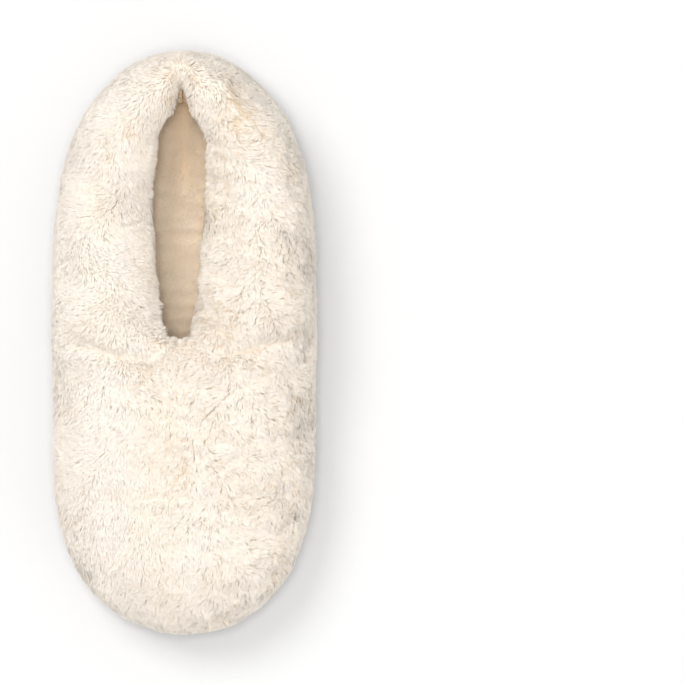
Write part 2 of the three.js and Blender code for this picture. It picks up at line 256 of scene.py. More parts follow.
class Noise:
    """A smooth random field: a sum of sines of one wavelength, in many directions."""

    def __init__(self, seed, wave, count=10, planar=False):
        g = np.random.default_rng(seed)
        d = g.normal(size=(count, 3))
        if planar:
            d[:, 2] *= 0.2
        d /= np.linalg.norm(d, axis=1)[:, None]
        self.k = d * (2 * math.pi / wave) * g.uniform(0.75, 1.35, (count, 1))
        self.ph = g.uniform(0, 2 * math.pi, count)
        self.n = math.sqrt(2 / count)

    def __call__(self, p):
        out = np.zeros(p.shape[:-1])
        for k, ph in zip(self.k, self.ph):
            out += np.sin(p @ k + ph)
        return out * self.n


# ---------------------------------------------------------------- relief of the plush
lump_big, lump_mid, lump_small = Noise(11, 52), Noise(12, 21), Noise(13, 9.5)
# partings where the pile opens: points in plan, half width, how much of the pile is lost
PARTINGS = [
    ([(-46.8, 0.4), (-39, -2.6), (-32.6, -4.7), (-21.7, -7.1), (-17, -7.4)], 1.9, 0.5),
    ([(43.5, 1.6), (34, -1.6), (23.6, -4.4), (17, -5.0)], 1.8, 0.5),
    ([(19.2, 120), (26, 108.7), (32.3, 100.7), (36, 95)], 1.2, 0.55),
    ([(24, 105.5), (24.2, 100.5)], 1.8, 0.55),
    ([(-33.2, 95), (-33.6, 86)], 1.7, 0.5),
    ([(-37.4, 66), (-37.9, 60)], 1.6, 0.5),
    ([(-25, 38), (-21, 33)], 1.2, 0.4),
    ([(2.0, -52.5), (2.6, -57), (0.2, -61)], 1.3, 0.55),
    ([(-35.5, 88), (-38, 70), (-38.5, 52)], 1.2, 0.3),
    ([(38, 12), (43, 9), (46, 5)], 1.3, 0.45),
    ([(30, -30), (36, -27), (42, -30)], 1.1, 0.35),
    ([(27, -66), (34, -70)], 1.1, 0.35),
]


def small_partings(seed, count):
    """Short curved places where the pile opens, more of them on the ruffled right side."""
    g = np.random.default_rng(seed)
    out = []
    while len(out) < count:
        x, y = g.uniform(-52, 54), g.uniform(-122, 124)
        if (x < 0 and g.random() < 0.55) or (abs(x) < 17 and y > -4):
            continue
        if abs(x) > np.interp(y, outline[:, 1], outline[:, 0]) - 9:
            continue
        a, bend, long = g.uniform(0, 2 * math.pi), g.uniform(-0.35, 0.35), g.uniform(3.5, 8)
        pts = []
        for k in range(4):
            pts.append((x, y))
            x, y, a = x + long / 3 * math.cos(a), y + long / 3 * math.sin(a), a + bend
        out.append((pts, g.uniform(0.7, 1.2), g.uniform(0.25, 0.5)))
    return out


PARTINGS += small_partings(5, 44)
NOTCH = [(-0.7, 112), (-0.7, 122)]  # the opening's narrow end at the heel, where the pile stays short


def line_distance(xy, pts):
    best = np.full(xy.shape[:-1], 1e9)
    for (ax, ay), (bx, by) in zip(pts[:-1], pts[1:]):
        e = np.array([bx - ax, by - ay], float)
        w = xy - np.array([ax, ay])
        u = np.clip((w @ e) / (e @ e), 0, 1)
        best = np.minimum(best, np.linalg.norm(w - u[..., None] * e, axis=-1))
    return best


def parting(P):
    """How far the pile is parted at each point, 0 to 1."""
    out = np.zeros(P.shape[:-1])
    up = smooth(30, 45, P[..., 2])
    for pts, half, deep in PARTINGS:
        d = line_distance(P[..., :2], pts)
        out = np.maximum(out, deep * np.exp(-((d / half) ** 2)))
    return out * up


def relief(P, N):
    """Moves a grid in and out along its normals as the stuffed plush does."""
    xy = P[..., :2]
    up = smooth(10, 34, P[..., 2])
    ruffled = 0.3 + 0.7 * smooth(-15, 25, xy[..., 0])
    h = (0.55 * lump_big(P) + (0.18 + 0.14 * ruffled) * lump_mid(P) + 0.19 * ruffled * lump_small(P)) * (0.3 + 0.7 * up) * (0.5 + 0.5 * smooth(0.05, 0.6, N[..., 2])) - 0.3
    for pts, half, deep in PARTINGS[:2]:
        h -= 2.7 * np.exp(-((line_distance(xy, pts) / 4.4) ** 2)) * up
        h += 0.7 * np.exp(-(((line_distance(xy, pts) - 8.5) / 4.5) ** 2)) * up
    h -= 1.7 * np.exp(-(np.hypot(xy[..., 0] + 4.3, (xy[..., 1] + 29) * 0.75) / 11) ** 2) * up
    return P + N * h[..., None]


# ---------------------------------------------------------------- mesh helpers
def new_object(name, verts, faces, material, smooth_shade=True):
    me = bpy.data.meshes.new(name)
    verts = np.asarray(verts, np.float32) * MM
    faces = np.asarray(faces, np.int32)
    me.vertices.add(len(verts))
    me.vertices.foreach_set("co", verts.ravel())
    k = faces.shape[1]
    me.loops.add(faces.size)
    me.loops.foreach_set("vertex_index", faces.ravel())
    me.polygons.add(len(faces))
    me.polygons.foreach_set("loop_start", np.arange(0, faces.size, k, dtype=np.int32))
    me.update(calc_edges=True)
    me.polygons.foreach_set("use_smooth", np.full(len(faces), smooth_shade))
    me.validate()
    o = bpy.data.objects.new(name, me)
    bpy.context.scene.collection.objects.link(o)
    me.materials.append(material)
    return o


def grid_faces(n, m, closed, base=0, flip=False):
    i = np.arange(n if closed else n - 1)
    a = (i[:, None] * m + np.arange(m - 1)[None]).ravel()
    b = ((((i + 1) % n)[:, None]) * m + np.arange(m - 1)[None]).ravel()
    f = np.stack([a, b, b + 1, a + 1], 1)
    if flip:
        f = f[:, ::-1]
    return f + base


def shell_object(name, outer, inner, material, closed=False):
    """A closed thick patch between two grids [s, v, 3]."""
    n, m = outer.shape[:2]
    verts = np.concatenate([outer.reshape(-1, 3), inner.reshape(-1, 3)])
    off = n * m
    F = [grid_faces(n, m, closed), grid_faces(n, m, closed, off, True)]
    i = np.arange(n if closed else n - 1)
    j = (i + 1) % n
    for col, flip in ((0, True), (m - 1, False)):
        a, b = i * m + col, j * m + col
        q = np.stack([a, b, b + off, a + off], 1)
        F.append(q[:, ::-1] if not flip else q)
    if not closed:
        v = np.arange(m - 1)
        for row, flip in ((0, False), (n - 1, True)):
            a, b = row * m + v, row * m + v + 1
            q = np.stack([a, b, b + off, a + off], 1)
            F.append(q[:, ::-1] if not flip else q)
    return new_object(name, verts, np.concatenate(F), material)


# ---------------------------------------------------------------- materials
def material(name, roughness=0.9, sheen=0.0, specular=0.25):
    m = bpy.data.materials.new(name)
    m.use_nodes = True
    nt = m.node_tree
    b = nt.nodes["Principled BSDF"]
    b.inputs["Roughness"].default_value = roughness
    b.inputs["Sheen Weight"].default_value = sheen
    b.inputs["Sheen Roughness"].default_value = 0.6
    b.inputs["Specular IOR Level"].default_value = specular
    return m, nt, b


def ramp(nt, stops, source):
    r = nt.nodes.new("ShaderNodeValToRGB")
    r.color_ramp.interpolation = "EASE"
    e = r.color_ramp.elements
    while len(e) < len(stops):
        e.new(0.5)
    for k, (pos, col) in zip(e, stops):
        k.position, k.color = pos, (*col, 1)
    nt.links.new(source, r.inputs["Fac"])
    return r.outputs["Color"]


def srgb(r, g, b):
    f = lambda c: c / 255 / 12.92 if c / 255 <= 0.04045 else ((c / 255 + 0.055) / 1.055) ** 2.4
    return (f(r), f(g), f(b))


def pile_material(name, root, body_, tip, tone_low, tone_high, roughness=0.95, sheen=0.0):
    """Colour runs along each lock from its root to its tip, and from lock to lock; the darker, warmer root end is
    painted shade deep in the pile. The map's u is the way along a lock and v is the lock's own tone.
    """
    m, nt, b = material(name, roughness, sheen, 0.05)
    uv = nt.nodes.new("ShaderNodeUVMap")
    uv.uv_map = "OFBake"
    sep = nt.nodes.new("ShaderNodeSeparateXYZ")
    nt.links.new(uv.outputs["UV"], sep.inputs["Vector"])
    along = ramp(nt, [(0.0, root), (0.35, lerp(np.array(root), np.array(body_), 0.7)), (0.7, body_), (1.0, tip)], sep.outputs["X"])
    tone = ramp(nt, [(0.0, tone_low), (0.5, (0.955, 0.944, 0.928)), (1.0, tone_high)], sep.outputs["Y"])
    mix = nt.nodes.new("ShaderNodeMix")
    mix.data_type, mix.blend_type = "RGBA", "MULTIPLY"
    mix.inputs["Factor"].default_value = 1.0
    nt.links.new(along, mix.inputs["A"])
    nt.links.new(tone, mix.inputs["B"])
    nt.links.new(mix.outputs["Result"], b.inputs["Base Color"])
    return m


def heel_painted_shade(nt, source, colour, near, far):
    """Multiplies a colour by a darker, warmer tone that grows between two places along the slipper: painted shade on
    the lining towards the heel, deep under the collar.
    """
    sep = nt.nodes.new("ShaderNodeSeparateXYZ")
    nt.links.new(source, sep.inputs["Vector"])
    r = nt.nodes.new("ShaderNodeMapRange")
    r.inputs["From Min"].default_value, r.inputs["From Max"].default_value = near, far
    nt.links.new(sep.outputs["Y"], r.inputs["Value"])
    mix = nt.nodes.new("ShaderNodeMix")
    mix.data_type, mix.blend_type = "RGBA", "MULTIPLY"
    nt.links.new(r.outputs["Result"], mix.inputs["Factor"])
    nt.links.new(colour, mix.inputs["A"])
    mix.inputs["B"].default_value = (0.94, 0.86, 0.76, 1)
    return mix.outputs["Result"]


def fabric_material(name, low, high, scale=400.0, roughness=0.92, sheen=0.15, bump=0.25, stretch=(1, 1, 1), grain=1400.0, heel=False):
    """A cloth with mottled colour and a fine nap."""
    m, nt, b = material(name, roughness, sheen, 0.15)
    tc = nt.nodes.new("ShaderNodeTexCoord")
    mp = nt.nodes.new("ShaderNodeMapping")
    mp.inputs["Scale"].default_value = stretch
    nt.links.new(tc.outputs["Object"], mp.inputs["Vector"])
    big = nt.nodes.new("ShaderNodeTexNoise")
    big.inputs["Scale"].default_value = scale * 0.25
    big.inputs["Detail"].default_value = 6
    nt.links.new(mp.outputs["Vector"], big.inputs["Vector"])
    colour = ramp(nt, [(0.28, low), (0.72, high)], big.outputs["Fac"])
    if heel:
        # painted shade: the lining darkens and warms towards the heel
        colour = heel_painted_shade(nt, tc.outputs["Object"], colour, 0.07, 0.112)
    nt.links.new(colour, b.inputs["Base Color"])
    fine = nt.nodes.new("ShaderNodeTexNoise")
    fine.inputs["Scale"].default_value = grain
    fine.inputs["Detail"].default_value = 4
    nt.links.new(tc.outputs["Object"], fine.inputs["Vector"])
    bp = nt.nodes.new("ShaderNodeBump")
    bp.inputs["Strength"].default_value = bump
    bp.inputs["Distance"].default_value = 0.0006
    nt.links.new(fine.outputs["Fac"], bp.inputs["Height"])
    nt.links.new(bp.outputs["Normal"], b.inputs["Normal"])
    return m


plush_mat = pile_material(
    "plush_pile", srgb(245, 230, 210), srgb(251, 242, 230), srgb(252, 245, 236),
    srgb(240, 227, 209), (1.0, 1.0, 1.0))
backing_mat = fabric_material("plush_backing", srgb(246, 234, 217), srgb(251, 242, 230), 500)
lining_mat = fabric_material("fleece_lining", srgb(249, 228, 200), srgb(254, 239, 216), 260, bump=0.5, grain=1900, heel=True)
padding_mat = fabric_material("wadding", srgb(228, 218, 198), srgb(240, 232, 214), 300)
counter_mat = fabric_material("counter_board", srgb(214, 206, 190), srgb(228, 221, 206), 600, 0.8, 0.0)
elastic_mat = fabric_material("elastic_cord", srgb(236, 232, 222), srgb(246, 243, 235), 900, 0.8, 0.0, stretch=(1, 1, 1))
tape_mat = fabric_material("seam_tape", srgb(192, 160, 122), srgb(208, 178, 141), 700, bump=0.6, grain=2600)
outsole_mat = fabric_material("outsole_rubber", srgb(206, 190, 166), srgb(216, 201, 178), 160, 0.62, 0.0, bump=0.12, grain=2400)
midsole_mat = fabric_material("midsole_foam", srgb(234, 228, 216), srgb(242, 237, 226), 500, 0.85, 0.0)
board_mat = fabric_material("insole_board", srgb(186, 160, 122), srgb(205, 180, 142), 900, 0.9, 0.0)
foam_mat = fabric_material("footbed_foam", srgb(238, 230, 205), srgb(246, 239, 218), 700, 0.9, 0.0)
thread_mat = fabric_material("thread", srgb(196, 164, 126), srgb(210, 180, 144), 900, 0.8, 0.0)


# ---------------------------------------------------------------- placing pieces
def crossing(o):
    """A piece that runs across the ball of the foot, with its placement baked into its mesh."""
    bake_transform(o)
    return o


def rear(o):
    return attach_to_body(o, "rear")


SIDE, FAN = 142, 96
M = meridians(SIDE, FAN)
n_side, n_fan = SIDE + 1, FAN - 1
i_right0, i_heel0 = 0, n_side
i_left0, i_toe0 = n_side + n_fan, 2 * n_side + n_fan
i_heel_mid = i_heel0 + n_fan // 2
ys = np.linspace(TOE_POLE, HEEL_POLE, SIDE + 1)
i_seam = int(np.argmin(np.abs(ys - SEAM_Y)))  # index of the seam on the right side
j_seam = i_left0 + (SIDE - i_seam)  # and on the left

ROWS = {
    "vamp": np.concatenate([np.arange(j_seam, M["n"]), np.arange(0, i_seam + 1)]),
    "right": np.arange(i_seam, i_heel_mid + 1),
    "left": np.arange(i_heel_mid, j_seam + 1),
}


def layer(t, per=4, rim=0.0, lip=None, base=None):
    P = to_space(M, refine(profile(M, t, rim, lip, base), per))
    return P


def pull(P, part, by=0.15):
    """Draws a patch's end rows back from its seams."""
    P = P.copy()
    if part == "vamp":
        P[0, :, 1] -= by
        P[-1, :, 1] -= by
    elif part == "right":
        P[0, :, 1] += by
        P[-1, :, 0] += by
    else:
        P[-1, :, 1] += by
        P[0, :, 0] -= by
    return P


CROWN = 48  # from this grid column on, a closed section lies on the middle line


def crown(P, N):
    """Makes the two sides meet in one point and one normal on the middle line."""
    shut = M["c"][:, 1] <= MOUTH[0, 1]
    y = np.round(M["c"][:, 1], 3)
    for value in np.unique(y[shut]):
        rows = np.flatnonzero(shut & (y == value))
        P[rows, CROWN:] = P[rows, CROWN].mean(0)
        N[rows, CROWN:] = unit(N[rows, CROWN - 1].sum(0))
    return P, N


LIP = [(-0.2, -2.5), (0.6, -5.6), (2.6, -7.6), (5.6, -8.6)]
LIP_IN = [(0.6, -1.2), (1.2, -3.2), (2.6, -4.6), (5.6, -5.4)]

# the plush's backing, which the pile stands on
outer = layer(PILE, rim=2.5, lip=LIP, base=4.2)
outer, outer_n = crown(outer, grid_normals(outer))
outer = relief(outer, outer_n)
outer, outer_n = crown(outer, grid_normals(outer))
inner = layer(PILE + 2.2, rim=3.8, lip=LIP_IN, base=4.2)
inner, inner_n = crown(inner, grid_normals(inner))
inner, inner_n = crown(relief(inner, inner_n), inner_n)

skins = {}
for part in ("vamp", "right", "left"):
    name = "vamp_plush_skin" if part == "vamp" else "quarter_plush_skin_" + part
    rows = ROWS[part]
    o = shell_object(name, pull(outer[rows], part), pull(inner[rows], part), backing_mat)
    skins[part] = o
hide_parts("vamp_plush_toe", "vamp_plush_instep")
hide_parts("quarter_plush_right")
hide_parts("quarter_plush_left")


# ---------------------------------------------------------------- pile
def sample(P, N, count, rng, weight=None):
    """Random points of a grid, spread evenly over its area: position, normal, the two directions of the grid."""
    a, b, c, d = P[:-1, :-1], P[1:, :-1], P[1:, 1:], P[:-1, 1:]
    area = 0.5 * np.linalg.norm(np.cross(c - a, d - b), axis=-1)
    w = area if weight is None else area * weight(0.25 * (a + b + c + d))
    cum = np.cumsum(w.ravel())
    pick = np.searchsorted(cum, (np.arange(count) + rng.random(count)) / count * cum[-1])
    pick = np.minimum(pick, w.size - 1)
    i, j = np.unravel_index(pick, w.shape)
    u, v = rng.random(count)[:, None], rng.random(count)[:, None]
    mixed = lambda G: (1 - u) * (1 - v) * G[i, j] + u * (1 - v) * G[i + 1, j] + u * v * G[i + 1, j + 1] + (1 - u) * v * G[i, j + 1]
    p, n = mixed(P), mixed(N)
    n /= np.maximum(np.linalg.norm(n, axis=1)[:, None], 1e-9)
    return p, n, float(area.sum())


patch = Noise(25, 34)
swirl1, swirl2, swirl3 = Noise(21, 42), Noise(22, 15), Noise(23, 7.5)
curly = Noise(24, 60)


mouth_loop = np.concatenate([mouth[::6], (mouth * [-1, 1])[::-1][::6]])


def band(p):
    """1 on the turned-in band beside the opening, 0 elsewhere."""
    return 1 - smooth(13, 21, line_distance(p[..., :2], np.vstack([mouth_loop, mouth_loop[:1]])))


def comb(p, n):
    """The way the pile lies and how far it lies down: down the slope and towards the toe, turned here and there by swirls."""
    down = unit(np.array([0, 0, -1.0]) - n * (-n[:, 2:3]))
    slope = np.clip(1 - n[:, 2:3], 0, 1) ** 0.5
    phi = np.arctan2(np.maximum(p[:, 1] - HEEL_POLE, 0), np.abs(p[:, 0]) + 1e-6)  # round the heel the pile runs both ways from the back
    t = np.stack([np.tanh(p[:, 0] / 4.5) * np.sin(phi), -np.cos(phi), 0 * phi], 1)
    toe = t - n * (t * n).sum(1, keepdims=True)
    f = 0.9 * toe + 1.3 * slope * down
    strength = np.clip(np.linalg.norm(f, axis=1), 0.15, 1)
    f = unit(f)
    side = np.cross(n, f)
    rough = (0.5 + 0.5 * smooth(-20, 25, p[:, 0])) * (1 - 0.6 * band(p))  # the right of the slipper is more ruffled
    a = 0.5 * swirl1(p) + rough * (0.36 * swirl2(p) + 0.26 * swirl3(p))
    a = (a * (0.35 + 0.65 * smooth(0.1, 0.6, n[:, 2])))[:, None]  # the pile hangs down on the sides
    return unit(np.cos(a) * f + np.sin(a) * side), strength


SIDES, RINGS = 3, 2
LOCK = SIDES * RINGS + 1


def pile(name_of, P, N, density, rng, mat, attach, chunk=21500, length=LOCK_LENGTH, clump_mm=2.5, thick=0.16, weight=None):
    """Locks of pile on a grid, as meshes of at most chunk locks each."""
    a, b, c, d = P[:-1, :-1], P[1:, :-1], P[1:, 1:], P[:-1, 1:]
    area = 0.5 * np.linalg.norm(np.cross(c - a, d - b), axis=-1).sum()
    count = int(area / 100 * density)
    p, n, _ = sample(P, N, count, rng, weight)
    # locks lean together in clumps
    nc = max(50, int(area / clump_mm**2))
    cp, cn, _ = sample(P, N, nc, rng)
    kd = kdtree.KDTree(nc)
    for i, q in enumerate(cp):
        kd.insert(q, i)
    kd.balance()
    near = np.fromiter((kd.find(q)[1] for q in p), int, count)
    ruffled = (0.35 + 0.65 * smooth(-25, 25, cp[:, 0])) * (1 - 0.5 * band(cp))
    cdir, _ = comb(cp, cn)
    turn = (rng.normal(0, 0.3, nc) * ruffled)[:, None]
    cdir = unit(np.cos(turn) * cdir + np.sin(turn) * np.cross(cn, cdir))
    clen = rng.uniform(0.9, 1.08, nc)
    ctone = rng.normal(0, 0.07, nc)
    cbind = rng.uniform(0.03, 0.16, nc) + 0.15 * ruffled * rng.random(nc)
    part_ = parting(p)
    L = length * clen[near] * rng.uniform(0.86, 1.08, count) * (1 - 0.78 * part_)
    L *= 0.8 + 0.2 * smooth(4, 10, p[:, 2])
    L *= 1 - 0.6 * np.exp(-((line_distance(p[:, :2], NOTCH) / 3.5) ** 2))
    f, strength = comb(p, n)
    t = (rng.normal(0, 1, count) * (0.2 + 0.9 * (1 - strength)))[:, None]
    f = unit(np.cos(t) * f + np.sin(t) * np.cross(n, f))
    f = unit(0.55 * f + 0.45 * cdir[near])
    lean = rng.uniform(0.6, 0.98, count) * (0.2 + 0.8 * strength)
    h = 0.88 * np.minimum(np.sqrt(np.maximum(1 - (lean * 0.84) ** 2, 0.2)), 0.8)
    tip = p + n * (L * h)[:, None] + f * (L * lean)[:, None]
    ctip = cp[near] + cn[near] * (L * 0.68)[:, None] + cdir[near] * (L * 0.62 * strength)[:, None] + 0.4 * (p - cp[near])
    tip = lerp(tip, ctip, cbind[near][:, None] * 0.8)
    away = tip - p
    far = np.linalg.norm(away, axis=1, keepdims=True)
    tip = p + away * np.minimum(1, L[:, None] * 1.12 / np.maximum(far, 1e-6))
    mid = p + n * (L * 0.66)[:, None] + 0.12 * (tip - p) + rng.normal(0, 0.2, (count, 3)) * (L[:, None] / 6)
    tip[:, 2] = np.maximum(tip[:, 2], 0.9)
    w = thick * rng.uniform(0.75, 1.3, count)
    side = unit(np.cross(n, unit(tip - p) + 1e-4))
    spin = rng.normal(0, 0.3, count)
    rings, top_n, under_n = [], [], []
    for u, k in ((0.0, 0.9), (0.6, 1.0)):
        c0 = ((1 - u) ** 2) * p + 2 * u * (1 - u) * mid + u * u * tip - n * (0.3 * (u == 0))
        tan = unit(2 * (1 - u) * (mid - p) + 2 * u * (tip - mid))
        e1 = unit(side - tan * (side * tan).sum(1, keepdims=True))
        e2 = np.cross(tan, e1)
        e1, e2 = (np.cos(spin)[:, None] * e1 + np.sin(spin)[:, None] * e2, np.cos(spin)[:, None] * e2 - np.sin(spin)[:, None] * e1)
        for qx, qz in ((1.35, -0.15), (0.0, 0.5), (-1.35, -0.15)):
            q = qx * e1 + qz * e2
            rings.append(c0 + q * (w * k)[:, None])
            top_n.append(unit(0.5 * qx * e1 + e2))
            under_n.append(-e2)
    V = np.stack(rings + [tip], 1)
    tilt = cdir * rng.normal(0, 0.1, nc)[:, None] + np.cross(cn, cdir) * rng.normal(0, 0.1, nc)[:, None]
    soft = (n + tilt[near] * (0.4 + 0.6 * ruffled[near])[:, None])[:, None]
    VT = unit(0.2 * np.stack(top_n + [unit(e2 + 0.3 * tan)], 1) + 0.8 * soft)  # the pile shades as a soft mass
    VB = unit(0.5 * np.stack(under_n + [unit(tan - e2)], 1) + 0.9 * soft)
    tris = []
    for i in range(SIDES):
        j = (i + 1) % SIDES
        tris += [(i, j, j + SIDES), (i, j + SIDES, i + SIDES), (SIDES + i, SIDES + j, 2 * SIDES)]
    tris = np.array(tris)
    right_top_shade = 0.16 * smooth(-38, -5, p[:, 0]) * smooth(0.2, 0.7, n[:, 2])  # painted shade: the upward-facing pile from the middle rightwards is a little darker and warmer, as on the side away from the key light
    # painted shade: the tone drops by half the parting, so locks are darker where the pile opens
    tone = np.clip(0.62 + ctone[near] + rng.normal(0, 0.09, count) + 0.06 * patch(p) - 0.5 * part_ - right_top_shade * (length > 3), 0.02, 0.98)
    order = np.argsort(p[:, 1] + 0.001 * p[:, 0])
    made = []
    pieces_ = max(1, math.ceil(count / chunk))
    for k, idx in enumerate(np.array_split(order, pieces_)):
        nn = len(idx)
        faces = (tris[None] + (np.arange(nn) * LOCK)[:, None, None]).reshape(-1, 3)
        o = new_object(name_of + ("_%d" % (k + 1) if pieces_ > 1 else ""), V[idx].reshape(-1, 3), faces, mat)
        me = o.data
        uvl = me.uv_layers.new(name="OFBake")
        along = np.array([0.03] * SIDES + [0.6] * SIDES + [0.97])
        jig = np.array([-0.008, 0, 0.008] * RINGS + [0.0])
        uv = np.stack([np.broadcast_to(along, (nn, LOCK)), np.clip(tone[idx][:, None] + jig, 0, 1)], -1).reshape(-1, 2)
        li = np.empty(len(me.loops), np.int32)
        me.loops.foreach_get("vertex_index", li)
        uvl.uv.foreach_set("vector", uv[li].astype(np.float32).ravel())
        corner = VT[idx][:, tris]
        corner[:, -3:] = VB[idx][:, tris[-3:]]
        me.normals_split_custom_set(corner.reshape(-1, 3).tolist())
        attach(o)
        made.append(o)
    return made


rng = np.random.default_rng(7)
DENSITY = 520
vis_v = slice(0, outer.shape[1] - 2)
for part in ("vamp", "right", "left"):
    rows = ROWS[part]
    base_name = "vamp_pile" if part == "vamp" else "quarter_pile_" + part
    pile(base_name, outer[rows][:, vis_v], outer_n[rows][:, vis_v], DENSITY, rng, plush_mat,
         crossing if part == "vamp" else rear)
for part, o in skins.items():
    (crossing if part == "vamp" else rear)(o)


for what, t0, t1, mat in (("padding", 9.3, 13.0, padding_mat), ("lining", 13.3, 15.5, lining_mat)):
    a = layer(t0, per=2, rim=8.6 if what == "padding" else 7.8, base=11.2)
    b = layer(t1, per=2, rim=8.6 if what == "padding" else 7.8, base=11.2)
    if what == "lining":
        nb = grid_normals(b)
        wr = Noise(31, 12)
        b = b - nb * (0.35 * wr(b * np.array([0.3, 1.3, 0.6])))[..., None]
        LINING_IN = b
    cut = 2 * 11 + 1
    for part in ("vamp", "right", "left"):
        rows = ROWS[part]
        cols = slice(0, None) if part == "vamp" else slice(0, cut)
        kind = "wadding" if what == "padding" else "fleece"
        name = ("vamp_" + kind) if part == "vamp" else "quarter_%s_%s" % (kind, part)
        o = shell_object(name, pull(a[rows][:, cols], part), pull(b[rows][:, cols], part), mat)
        if part == "vamp":
            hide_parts("vamp_%s_toe" % what, "vamp_%s_instep" % what)
        else:
            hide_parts("quarter_%s_%s" % (what, part))
        (crossing if part == "vamp" else rear)(o)


# ---------------------------------------------------------------- sole
def slab_object(name, z0, z1, inset, mat, round_=0.6, top=None, rings=14, extra=None):
    """A flat layer of the sole: two discs on the meridians, with a rounded rim."""
    R = M["R"] - inset
    us = np.linspace(0, 1, rings)[:-1]
    prof = [(u, -1, 0.0) for u in us]
    edge = [(-90 + 180 * k / 6) for k in range(7)]
    cols = []
    h = (z1 - z0) / 2
    rr = min(round_, h)
    for u in us:
        cols.append((u * (R - rr), np.full(M["n"], z0)))
    for a in np.linspace(-90, 0, 4):
        cols.append((R - rr + rr * math.cos(math.radians(a)), np.full(M["n"], z0 + rr + rr * math.sin(math.radians(a)))))
    for a in np.linspace(0, 90, 4):
        cols.append((R - rr + rr * math.cos(math.radians(a)), np.full(M["n"], z1 - rr + rr * math.sin(math.radians(a)))))
    for u in us[::-1]:
        cols.append((u * (R - rr), np.full(M["n"], z1)))
    P = np.stack([to_space(M, np.stack([r[:, None], z[:, None]], -1))[:, 0] for r, z in cols], 1)
    if top is not None:
        upper = P[..., 2] > (z0 + z1) / 2
        P[..., 2] += np.where(upper, top(P), 0)
    n, m = P.shape[:2]
    V, F = P.reshape(-1, 3), grid_faces(n, m, True)
    if extra is not None:
        ev, ef = extra
        F = np.concatenate([F, ef + len(V)])
        V = np.concatenate([V, ev])
    o = new_object(name, V, F, mat)
    return o


def lugs():
    """The outsole's round lugs, set out as in the CAD."""
    vs, fs, count = [], [], 0
    edge = M["R"] - 13.0
    pts = np.stack([M["c"][:, 0] + M["d"][:, 0] * edge, M["c"][:, 1] + M["d"][:, 1] * edge], 1)

    def inside(x, y):
        a, b = pts, np.roll(pts, 1, 0)
        cross = (a[:, 1] > y) != (b[:, 1] > y)
        at = (b[:, 0] - a[:, 0]) * (y - a[:, 1]) / np.where(np.abs(b[:, 1] - a[:, 1]) < 1e-9, 1e-9, b[:, 1] - a[:, 1]) + a[:, 0]
        return (cross & (x < at)).sum() % 2 == 1

    K = 20
    prof = [(0.0, 0.0), (2.6, 0.0), (4.2, 0.0), (4.75, 0.12), (5.0, 0.5), (5.05, 1.8)]
    for row in range(-9, 10):
        for col in range(-4, 5):
            y = FLEX_Y + 17.32 * (row + 0.5) + 3.5 * 17.32
            x = 20 * (col + (0.5 if row % 2 else 0))
            if abs(y - FLEX_Y) > 5 and inside(x, y):
                ring = []
                for r, z in prof:
                    a = np.arange(K) * 2 * math.pi / K
                    ring.append(np.stack([x + r * np.cos(a), y + r * np.sin(a), np.full(K, z)], 1))
                vs.append(np.stack(ring, 1).reshape(-1, 3))
                fs.append(grid_faces(K, len(prof), True, count))
                count += K * len(prof)
    return np.concatenate(vs), np.concatenate(fs)


wrinkle = Noise(41, 9)


def footbed_top(P):
    q = P * np.array([0.25, 1.6, 1])
    return 0.55 * wrinkle(q) * smooth(0.2, 0.9, 1 - np.abs(P[..., 0]) / 60)


for name, z0, z1, inset, mat, slot_name, extra in (
    ("outsole", 1.5, 4.0, 6.5, outsole_mat, "outsole", lugs()),
    ("midsole", 4.3, 9.3, 14.6, midsole_mat, "midsole", None),
    ("insole_board", 9.6, 10.8, 12.9, board_mat, "board", None),
    ("footbed_foam", 11.1, 16.0, 18.6, foam_mat, "foam", None),
    ("footbed_cover", 16.4, 18.3, 17.9, lining_mat, "cover", None),
):
    o = slab_object(name, z0, z1, inset, mat, top=footbed_top if name == "footbed_cover" else None, extra=extra)
    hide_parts(name + "_rear", name + "_forefoot")
    crossing(o)



def tube_object(name, path, r, mat, sides=10, closed=True, cover=None):
    """A round cord along a path of points."""
    path = np.asarray(path, float)
    t = np.roll(path, -1, 0) - np.roll(path, 1, 0) if closed else np.gradient(path, axis=0)
    t = unit(t)
    ref = np.cross(t, np.array([0, 0, 1.0]))
    ref = unit(np.where(np.linalg.norm(ref, axis=1, keepdims=True) < 1e-3, np.array([[1.0, 0, 0]]), ref))
    up = np.cross(ref, t)
    a = np.arange(sides) * 2 * math.pi / sides
    P = path[:, None] + r * (np.cos(a)[None, :, None] * ref[:, None] + np.sin(a)[None, :, None] * up[:, None])
    n = len(path)
    V = P.reshape(-1, 3)
    i = np.arange(n if closed else n - 1)
    j = (i + 1) % n
    F = []
    for k in range(sides):
        k2 = (k + 1) % sides
        F.append(np.stack([i * sides + k, i * sides + k2, j * sides + k2, j * sides + k], 1))
    F = np.concatenate(F)
    if not closed:
        caps = [[n * sides] * 2, [n * sides + 1] * 2]
        V = np.concatenate([V, path[:1], path[-1:]])
        k = np.arange(sides)
        F = np.concatenate([F, np.stack([k, np.full(sides, n * sides), np.full(sides, n * sides), (k + 1) % sides], 1)[:, [0, 1, 3, 3]],
                            np.stack([(n - 1) * sides + k, (n - 1) * sides + (k + 1) % sides, np.full(sides, n * sides + 1), np.full(sides, n * sides + 1)], 1)])
    return new_object(name, V, F, mat)


